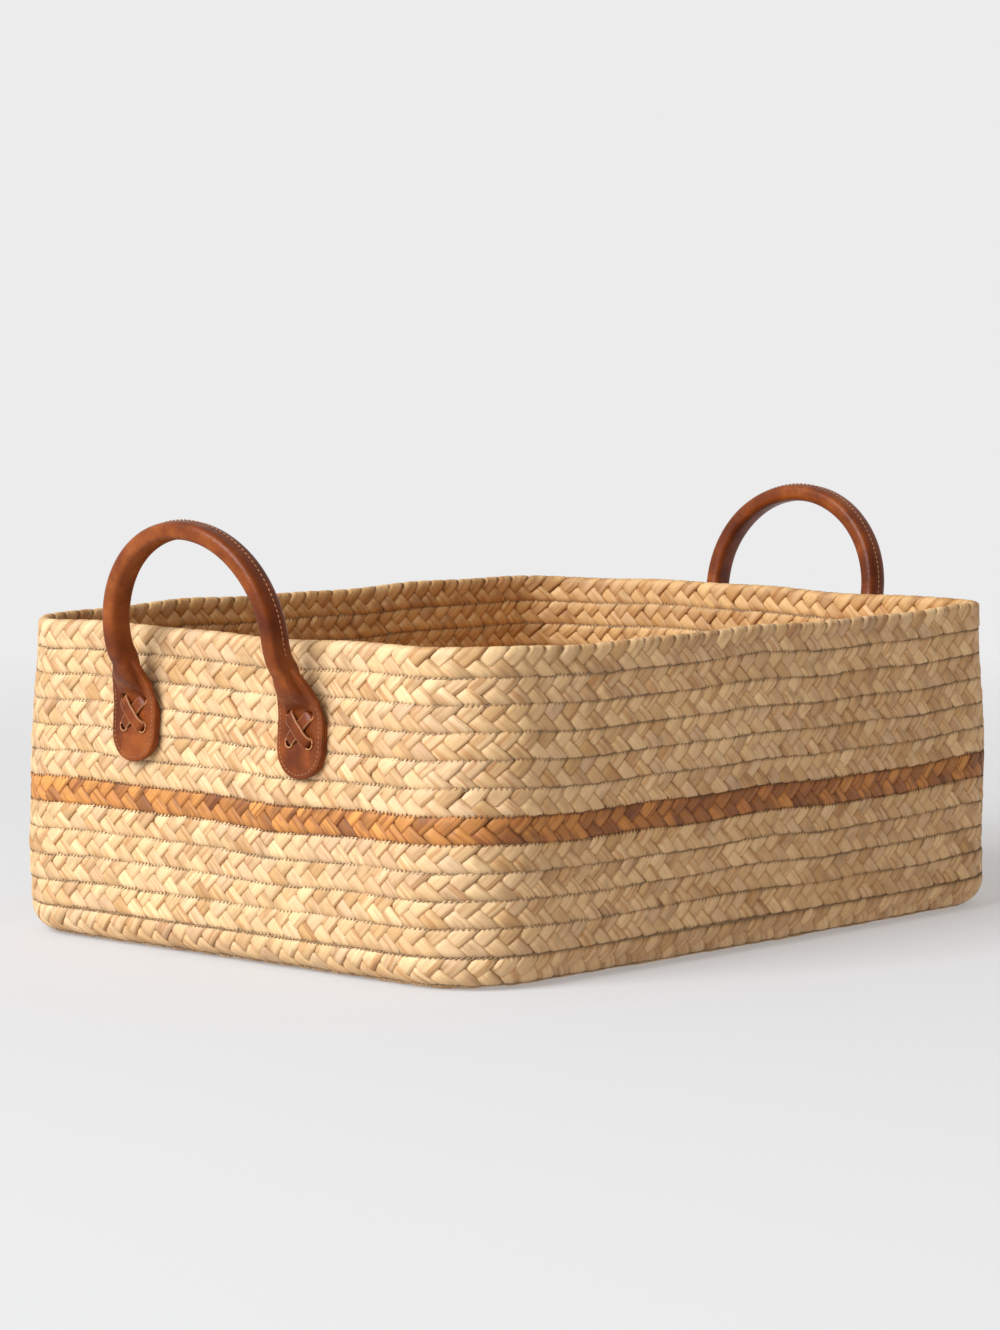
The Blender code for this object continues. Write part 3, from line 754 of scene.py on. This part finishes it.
def arch_path():
    """Middle of the roll from the leg at -Y over the apex to the leg at +Y."""
    flex = tab_back_offset(FLEX_Z) + TAB_LAYER + ROW_GAP / 2
    start = np.array([flex, TAB_SPREAD, FLEX_Z]) + LEG_START
    rim = np.array([LEG_LEAN_RIM, LEG_SPREAD, HEIGHT])
    t = np.linspace(0.0, 1.0, LEG_POINTS, endpoint=False)[:, None]
    leg = (start * (1 - t) ** 3 + (start + LEG_START_PULL) * 3 * t * (1 - t) ** 2
           + (rim + LEG_RIM_PULL) * 3 * t * t * (1 - t) + rim * t ** 3)
    angle = np.linspace(0.0, math.pi / 2, ARCH_POINTS)
    top = np.stack([LEG_LEAN_RIM + (LEG_LEAN_APEX - LEG_LEAN_RIM) * np.sin(angle),
                    LEG_SPREAD * np.cos(angle), HEIGHT + ARCH_RISE * np.sin(angle)], axis=-1)
    half = np.concatenate([leg, top]) + np.array([LENGTH / 2, 0.0, 0.0])
    return np.concatenate([half * np.array([1.0, -1.0, 1.0]), half[-2::-1]])


def roll_directions(path):
    """Outward direction, square to the arch, and the direction to the arch's inside."""
    tangent = unit(np.gradient(path, axis=0))
    outward = unit(np.array([1.0, 0.0, 0.0]) - tangent * tangent[:, :1])
    return outward, np.cross(tangent, outward)


def roll_solid():
    """The stuffed roll; both legs flatten and widen downwards until they lie on the tabs."""
    path = arch_path()
    foot = np.array(LEG_FOOT)
    z = np.linspace(foot[0, 0], foot[-1, 0], 22)
    back, front, width = (smooth_curve(z, foot[:, 0], foot[:, k]) for k in (1, 2, 3))
    lower = np.stack([LENGTH / 2 + (back + front) / 2, np.full(len(z), -TAB_SPREAD), z], axis=-1)
    joint = int(np.argmax(path[:, 2] > z[-1] + 0.0015))
    lower[:, 1] += (path[joint, 1] + TAB_SPREAD) * smoothstep((z - z[0]) / (z[-1] - z[0]))
    slope = np.gradient(lower[:, 0], z)
    depth = (front - back) / np.sqrt(1.0 + slope ** 2)
    arch = path[joint:len(path) - joint]
    mirror = np.array([1.0, -1.0, 1.0])
    whole = np.concatenate([lower, arch, (lower * mirror)[::-1]])
    widths = np.concatenate([width, np.full(len(arch), ROLL_WIDTH), width[::-1]])
    depths = np.concatenate([depth, np.full(len(arch), ROLL_DEPTH), depth[::-1]])
    whole, widths, depths = (evened(values) for values in (whole, widths, depths))
    _, inside = roll_directions(whole)
    place = np.linspace(0.0, 1.0, len(whole))
    wobble = 1.0 + 0.012 * np.sin(23 * place) + 0.010 * np.sin(61 * place + 1.0)
    return swept(whole, inside, widths * wobble, depths, ROLL_SQUARENESS, 40)[0]


def smooth_curve(wanted, places, values):
    """Smooth curve through a few values, from their slopes at each place."""
    slopes = np.gradient(values, places)
    k = np.clip(np.searchsorted(places, wanted, side="right") - 1, 0, len(places) - 2)
    span = places[k + 1] - places[k]
    t = (wanted - places[k]) / span
    return ((2 * t ** 3 - 3 * t ** 2 + 1) * values[k] + (t ** 3 - 2 * t ** 2 + t) * span * slopes[k]
            + (3 * t ** 2 - 2 * t ** 3) * values[k + 1] + (t ** 3 - t ** 2) * span * slopes[k + 1])


def evened(values):
    """Values along a path with small steps between neighbours smoothed out."""
    flat = values.reshape(len(values), -1)
    padded = np.pad(flat, ((2, 2), (0, 0)), mode="reflect", reflect_type="odd")
    kernel = np.array([1.0, 2.0, 3.0, 2.0, 1.0]) / 9.0
    made = np.stack([np.convolve(column, kernel, mode="valid") for column in padded.T], axis=-1)
    return made.reshape(values.shape)


def peel(z):
    return smooth_curve(z, *np.array(PEEL).T)


def shoulder(z):
    """Half width of the flat leather at a height, from the tab's full width to the roll's."""
    share = np.clip((z - TAB_SHOULDER_Z) / (FLANGE_TOP_Z - TAB_SHOULDER_Z), 0.0, 1.0)
    return TAB_WIDTH / 2 - (TAB_WIDTH - ROLL_WIDTH) / 2 * share ** SHOULDER_POWER


def flange_solid(leg):
    """Flat leather that comes off the wall with the leg's back and widens into the tab."""
    z = np.linspace(FLANGE_BOTTOM_Z, FLANGE_TOP_Z, 26)
    share = (z - FLANGE_BOTTOM_Z) / (FLANGE_TOP_Z - FLANGE_BOTTOM_Z)
    x = LENGTH / 2 + tab_back_offset(z) + 1.5 * TAB_LAYER + ROW_GAP + peel(z)
    thick = TAB_LAYER * (1.0 + 0.6 * smoothstep((z - TAB_TOP_Z) / 0.004))
    y = leg * (TAB_SPREAD + (LEG_SPREAD + 0.0010 - TAB_SPREAD) * share)
    centre = np.stack([x - (thick - TAB_LAYER) / 2, y, z], axis=-1)
    return swept(centre, np.array([0.0, 1.0, 0.0]), 2 * shoulder(z), thick, 9.0, 48)[0]


def tab_outline(inset=0.0, taper=0.0):
    """Outline of a tab from its lacing's middle, counter-clockwise from the lower left.

    inset shrinks it all round, and taper takes more off towards its top corners.
    """
    radius = TAB_WIDTH / 2 - inset
    centre = TAB_BOTTOM_Z + TAB_WIDTH / 2 - LACE_CENTRE_Z
    angle = np.radians(np.linspace(180.0, 360.0, 33))
    z = np.linspace(TAB_SHOULDER_Z, TAB_TOP_Z, 9)
    drawn_in = inset + taper * ((z - TAB_SHOULDER_Z) / (TAB_TOP_Z - TAB_SHOULDER_Z)) ** 2
    right = np.stack([shoulder(z) - drawn_in, z - LACE_CENTRE_Z], axis=-1)
    round_end = np.stack([radius * np.cos(angle), centre + radius * np.sin(angle)], axis=-1)
    return np.concatenate([round_end, right, (right * [-1.0, 1.0])[::-1]])


def lace_holes():
    return [(sy * LACE_HOLE_SPAN_Y / 2, sz * LACE_HOLE_SPAN_Z / 2)
            for sy in (-1, 1) for sz in (-1, 1)]


def plate(name, leg, side, middle, bevel, bends):
    """Mesh of one flat layer of a tab with its four lace holes and rounded edges."""
    curve = bpy.data.curves.new(name, "CURVE")
    curve.dimensions = "2D"
    curve.fill_mode = "BOTH"
    curve.extrude = TAB_LAYER / 2 - bevel
    curve.bevel_depth = bevel
    curve.bevel_resolution = 2
    curve.offset = -bevel
    turn = 2 * math.pi * np.arange(20) / 20
    ring = np.stack([np.cos(turn), np.sin(turn)], axis=-1) * LACE_HOLE_RADIUS
    outer = tab_outline() if bends else tab_outline(BACKING_INSET, BACKING_TAPER)
    for outline in [outer] + [ring + hole for hole in lace_holes()]:
        spline = curve.splines.new("POLY")
        spline.points.add(len(outline) - 1)
        for point, (x, y) in zip(spline.points, outline):
            point.co = (x, y, 0.0, 1.0)
        spline.use_cyclic_u = True
    holder = bpy.data.objects.new(name, curve)
    mesh = bpy.data.meshes.new_from_object(holder)
    bpy.data.objects.remove(holder)
    flat = np.zeros(len(mesh.vertices) * 3)
    mesh.vertices.foreach_get("co", flat)
    flat = flat.reshape(-1, 3)
    lift = peel(flat[:, 1] + LACE_CENTRE_Z) if bends else 0.0
    placed = turned(on_tab(leg, flat[:, 0], flat[:, 1], flat[:, 2] + middle + lift), side)
    mesh.vertices.foreach_set("co", placed.astype(np.float32).ravel())
    mesh.update()
    return mesh


def solid_mesh(points, side):
    """Mesh of a closed bar from its grid of points."""
    return mesh_from_grid("solid", turned(points, side), False, True)


def handle_leather(label, side, finish):
    """Roll, flat shoulders and tab faces of one handle: one piece of leather."""
    face = 1.5 * TAB_LAYER + ROW_GAP
    parts = [solid_mesh(roll_solid(), side)]
    for leg in (-1, 1):
        parts.append(solid_mesh(flange_solid(leg), side))
        parts.append(plate("tab_face", leg, side, face, FACE_BEVEL, True))
    rough = bpy.data.objects.new("rough_leather", joined("rough_leather", parts))
    bpy.context.scene.collection.objects.link(rough)
    blend = rough.modifiers.new("one_skin", "REMESH")
    blend.mode = "VOXEL"
    blend.voxel_size = LEATHER_VOXEL
    relax = rough.modifiers.new("soft_edges", "SMOOTH")
    relax.factor = 0.5
    relax.iterations = 5
    bpy.context.view_layer.update()
    graph = bpy.context.evaluated_depsgraph_get()
    mesh = bpy.data.meshes.new_from_object(rough.evaluated_get(graph))
    bpy.data.objects.remove(rough)
    mesh.shade_smooth()
    roll_coordinates(mesh, side)
    nodes = [label + "_sleeve", label + "_front_tab_face", label + "_rear_tab_face"]
    made = add_piece(label + "_leather", mesh, finish, None, nodes)
    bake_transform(made)


def roll_coordinates(mesh, side):
    """Give each vertex its distance along the roll and its place in the roll's section."""
    flat = np.zeros(len(mesh.vertices) * 3)
    mesh.vertices.foreach_get("co", flat)
    points = turned(flat.reshape(-1, 3), side)
    path = arch_path()
    outward, inside = roll_directions(path)
    lengths = lengths_along(path)
    nearest = np.empty(len(points), dtype=int)
    batch = 4000
    for first in range(0, len(points), batch):
        gap = points[first:first + batch, None] - path[None]
        nearest[first:first + batch] = (gap ** 2).sum(axis=-1).argmin(axis=1)
    gap = points - path[nearest]
    tangent = np.cross(inside[nearest], outward[nearest]) * -1.0
    values = np.stack([lengths[nearest] + (gap * tangent).sum(axis=-1),
                       (gap * outward[nearest]).sum(axis=-1),
                       (gap * inside[nearest]).sum(axis=-1)], axis=-1)
    layer = mesh.attributes.new("roll", "FLOAT_VECTOR", "POINT")
    layer.data.foreach_set("vector", values.astype(np.float32).ravel())


def lace_points(leg, turn, height):
    """A flat lace up through the wall and the tab at one hole, over, and down another."""
    half = math.hypot(LACE_HOLE_SPAN_Y, LACE_HOLE_SPAN_Z) / 2
    surface = 2 * TAB_LAYER + ROW_GAP
    back = -(ROW_THICKNESS + LACE_BEHIND_WALL)
    swing = np.linspace(-math.pi / 2, math.pi / 2, 41)
    arc = np.sign(np.sin(swing)) * np.abs(np.sin(swing)) ** LACE_SQUARENESS * half
    rise = surface - LACE_DIP + (height + LACE_DIP) * np.cos(swing) ** LACE_SQUARENESS
    down = np.linspace(back + LACE_BEND_RISE, surface - 0.0014, 8)
    tail = np.linspace(half - LACE_TAIL, half - LACE_BEND_RUN, 6)
    bend = np.radians(np.linspace(0.0, 90.0, 6))[1:-1]
    round_run = half - LACE_BEND_RUN + LACE_BEND_RUN * np.sin(bend)
    round_out = back + LACE_BEND_RISE * (1 - np.cos(bend))
    right_run = np.concatenate([tail, round_run, np.full(len(down), half)])
    right_out = np.concatenate([np.full(len(tail), back), round_out, down])
    run = np.concatenate([-right_run, arc, right_run[::-1]])
    out = np.concatenate([right_out, rise, right_out[::-1]])
    path = on_tab(leg, run * math.cos(turn), run * math.sin(turn), out)
    across = on_tab(leg, -math.sin(turn), math.cos(turn), 0.0) - on_tab(leg, 0.0, 0.0, 0.0)
    open_air = smoothstep((out - surface + 0.0006) / 0.0016)
    widths = LACE_WAIST + (LACE_WIDTH - LACE_WAIST) * open_air
    widths = widths * (1.0 + 0.04 * np.sin(run * 900.0))
    return swept(path, across, widths, np.full(len(run), LACE_THICKNESS), 5.0, 28)


def laces(label, side, finish):
    slope = math.atan2(LACE_HOLE_SPAN_Z, LACE_HOLE_SPAN_Y)
    for leg, tab in tabs_of(label, side):
        for thong, height, turn in (("under", LACE_RISE, slope),
                                    ("over", LACE_RISE + LACE_STEP, -slope)):
            points, narrow = lace_points(leg, turn, height)
            name = f"{tab}_lace_{thong}"
            mesh = mesh_from_grid(name, turned(points, side), False, True,
                                  {"cut": narrow[..., None].astype(float)})
            add_piece("leather_" + name, mesh, finish, "basket", [name])


def hole_lips(label, side, finish):
    """Leather pushed up into a lip round each lace hole, coloured pale as a painted highlight."""
    turn = 2 * math.pi * np.arange(28) / 28
    radius = LIP_REACH * LACE_HOLE_RADIUS
    top = 2 * TAB_LAYER + ROW_GAP + LIP_LIFT * np.cos(turn + 0.7)
    for leg, tab in tabs_of(label, side):
        rings = []
        for along, up in lace_holes():
            path = on_tab(leg, along + radius * np.cos(turn), up + radius * np.sin(turn), top)
            points, fibre = tube(turned(path, side), LIP_RADIUS, 8, True)
            rings.append(mesh_from_grid("lip_highlight", points, True, True, {"fibre": fibre}))
        name = tab + "_lace_hole_lips"
        add_piece(name, joined(name, rings), finish, "basket")


def stitch_row(name, path, pitch, length, radius):
    """Mesh of short thick stitches, each a capsule lying along the path."""
    lengths = lengths_along(path)
    count = int(lengths[-1] // pitch)
    wanted = (lengths[-1] - count * pitch) / 2 + pitch * np.arange(count + 1)
    places = np.stack([np.interp(wanted, lengths, path[:, k]) for k in range(3)], axis=-1)
    share = np.sin(np.radians(np.linspace(-88.0, 88.0, 9)))
    radii = radius * np.sqrt(np.maximum(1.0 - share ** 4, 0.01))
    stitches = []
    for place, direction in zip(places, unit(np.gradient(places, axis=0))):
        points, fibre = tube(place + (share * length / 2)[:, None] * direction, radii, 8, False)
        stitches.append(mesh_from_grid("stitch", points, False, True, {"fibre": fibre}))
    return joined(name, stitches)


def saddle_stitches(label, side, finish):
    """Hand stitches that close the roll along its outer edge, and along each tab's edge."""
    path = arch_path()
    outward, inside = roll_directions(path)
    line = path - inside * (ROLL_WIDTH / 2 + STITCH_PROUD) + outward * SEAM_OUTWARD
    mesh = stitch_row(label + "_saddle_stitches", turned(line[SEAM_SKIP:-SEAM_SKIP], side),
                      SADDLE_PITCH, SADDLE_LENGTH, SADDLE_RADIUS)
    add_piece(mesh.name, mesh, finish, label, [label + "_seam_thread"])
    round_end, right = np.split(tab_outline(EDGE_STITCH_INSET)[:42], [33])
    outline = np.concatenate([(right * [-1.0, 1.0])[::-1], round_end, right])
    out = 2 * TAB_LAYER + ROW_GAP - STITCH_PROUD + peel(outline[:, 1] + LACE_CENTRE_Z)
    sizes = np.multiply((SADDLE_PITCH, SADDLE_LENGTH, SADDLE_RADIUS), EDGE_STITCH_SIZES)
    for leg, tab in tabs_of(label, side):
        edge = turned(on_tab(leg, outline[:, 0], outline[:, 1], out), side)
        mesh = stitch_row(tab + "_tab_stitches", edge, *sizes)
        add_piece(mesh.name, mesh, finish, "basket")


def tab_backings(label, side, finish):
    for leg, tab in tabs_of(label, side):
        name = f"leather_{tab}_tab_backing"
        mesh = plate(name, leg, side, TAB_LAYER / 2, BACKING_BEVEL, False)
        mesh.shade_smooth()
        mesh.set_sharp_from_angle(angle=math.radians(50))
        add_piece(name, mesh, finish, "basket", [tab + "_tab_backing"])


def core_cord(label, side, finish):
    """Three-ply cord flattened in the roll."""
    path = arch_path()[CORE_SKIP:-CORE_SKIP]
    _, inside = roll_directions(path)
    wide, deep = (np.full(len(path), size - 2 * SLEEVE_WALL - CORE_ROOM)
                  for size in (ROLL_WIDTH, ROLL_DEPTH))
    points, _ = swept(path, inside, wide, deep, 2.4, CORE_SIDES)
    centre = points.mean(axis=1, keepdims=True)
    turn = (2 * math.pi * CORE_PLIES * np.arange(CORE_SIDES)[None] / CORE_SIDES
            + np.arange(len(points))[:, None] * CORE_TWIST)
    bulge = 1.0 - CORE_GROOVE * (1.0 + np.abs(np.cos(turn / 2)))
    points = centre + (points - centre) * bulge[..., None]
    mesh = mesh_from_grid(label + "_cord", turned(points, side), False, True, {"fibre": points})
    add_piece(label + "_core", mesh, finish, label, [label + "_core_cord"])


def handles(leather, lace, lip_highlight, stitching, cord):
    for label, side in (("left_handle", -1), ("right_handle", 1)):
        handle_leather(label, side, leather)
        tab_backings(label, side, leather)
        laces(label, side, lace)
        hole_lips(label, side, lip_highlight)
        saddle_stitches(label, side, stitching)
        core_cord(label, side, cord)


# ---- stage, light and camera ---------------------------------------------
def floor_material():
    """Pale floor that takes shadows near the object and fades into the backdrop far away."""
    n = Nodes(bpy.data.materials.new("studio_floor"))
    place = n.add("TexCoord").outputs["Object"]
    length = n.add("VectorMath", operation="LENGTH")
    n.link(place, length.inputs[0])
    n.feed_all(n.shader, Base_Color=FLOOR_COLOUR, Roughness=0.9, Specular_IOR_Level=0.1)
    glow = n.add("Emission")
    n.feed_all(glow, Color=BACKDROP)
    blend = n.add("MixShader")
    near_to_far = n.map(length.outputs["Value"], *FLOOR_FADE, FLOOR_GLOW, 1.0)
    for number, source in enumerate((near_to_far, n.shader.outputs[0], glow.outputs[0])):
        n.link(source, blend.inputs[number])
    n.link(blend.outputs[0], n.tree.nodes["Material Output"].inputs["Surface"])
    return n.owner


def aim(thing, place, target):
    thing.location = place
    thing.rotation_euler = (Vector(target) - Vector(place)).to_track_quat("-Z", "Y").to_euler()


def key_light():
    data = bpy.data.lights.new("key", "AREA")
    data.shape = "RECTANGLE"
    data.size, data.size_y = KEY_SIZE
    data.energy = KEY_POWER
    data.color = KEY_COLOUR
    light = bpy.data.objects.new("key", data)
    bpy.context.scene.collection.objects.link(light)
    aim(light, KEY_PLACE, KEY_TARGET)


def studio_sky():
    """Even backdrop beyond the object; dimmer and warmer behind the camera, dimmer overhead."""
    n = Nodes(bpy.data.worlds.new("studio"))
    split = n.add("SeparateXYZ")
    n.link(n.add("TexCoord").outputs["Generated"], split.inputs[0])
    behind = n.map(split.outputs[1], -0.15, -0.75, 0.0, 1.0)
    above = n.map(split.outputs[2], 0.25, 0.80, 0.0, 1.0)
    colour = n.mix(above, n.mix(behind, BACKDROP, SKY_BEHIND), SKY_ABOVE)
    n.feed_all(n.tree.nodes["Background"], Color=colour, Strength=1.0)
    return n.owner


def build_stage():
    bpy.ops.mesh.primitive_circle_add(vertices=96, radius=40.0, fill_type="NGON")
    floor = bpy.context.object
    floor.name = "studio_floor"
    floor.data.materials.append(floor_material())
    bpy.context.scene.world = studio_sky()
    key_light()
    bpy.context.scene.view_settings.view_transform = "Standard"


def build_camera():
    data = bpy.data.cameras.new("camera")
    camera = bpy.data.objects.new("camera", data)
    bpy.context.scene.collection.objects.link(camera)
    azimuth, elevation = math.radians(CAMERA_AZIMUTH), math.radians(CAMERA_ELEVATION)
    back = Vector((math.sin(azimuth) * math.cos(elevation),
                   -math.cos(azimuth) * math.cos(elevation), math.sin(elevation)))
    aim(camera, Vector(CAMERA_TARGET) + back * CAMERA_DISTANCE, CAMERA_TARGET)
    data.lens = CAMERA_LENS
    data.shift_y = CAMERA_SHIFT
    data.clip_start, data.clip_end = 0.05, 100.0
    bpy.context.scene.camera = camera


def main():
    build_stage()
    build_camera()
    # the stain colour tints real stains and, dimmed, the painted shade in the creases, as strong as
    # the crease depth
    natural = leaf_material("natural_leaf", light=(0.86, 0.600, 0.315), deep=(0.60, 0.355, 0.148),
                            cool=(0.62, 0.415, 0.265), stain_and_crease_shade=(0.34, 0.18, 0.07), crease_shade_depth=0.45)
    dyed = leaf_material("dyed_leaf", light=(0.80, 0.345, 0.078), deep=(0.30, 0.105, 0.024),
                         cool=(0.55, 0.20, 0.050), stain_and_crease_shade=(0.12, 0.040, 0.014), crease_shade_depth=0.75)
    # each thread's second colour is that thread as it looks in shade, for painted shade between its
    # plies
    sewing = thread_material("sewing_thread", (0.46, 0.33, 0.195), (0.22, 0.145, 0.080))
    dark_sewing = thread_material("dark_sewing_thread", (0.26, 0.14, 0.065), (0.11, 0.052, 0.024))
    leather = leather_material("tan_leather", light=(0.33, 0.085, 0.0145),
                               mid=(0.212, 0.045, 0.0065), dark=(0.095, 0.017, 0.003))
    lace = leather_material("lace_leather", light=(0.33, 0.085, 0.0145),
                            mid=(0.205, 0.043, 0.006), dark=(0.095, 0.017, 0.003),
                            cut=(0.48, 0.22, 0.095))
    # the lips' pale colour is a painted highlight round the lace holes
    lip_highlight = thread_material("hole_lip_painted_highlight", (0.52, 0.22, 0.08), (0.36, 0.12, 0.035))
    stitching = thread_material("saddle_thread", (0.40, 0.17, 0.065), (0.22, 0.08, 0.028))
    cord = thread_material("core_cord", (0.62, 0.52, 0.36), (0.40, 0.31, 0.19))
    plait_all(natural, dyed)
    sew_all(sewing, dark_sewing)
    handles(leather, lace, lip_highlight, stitching, cord)


main()
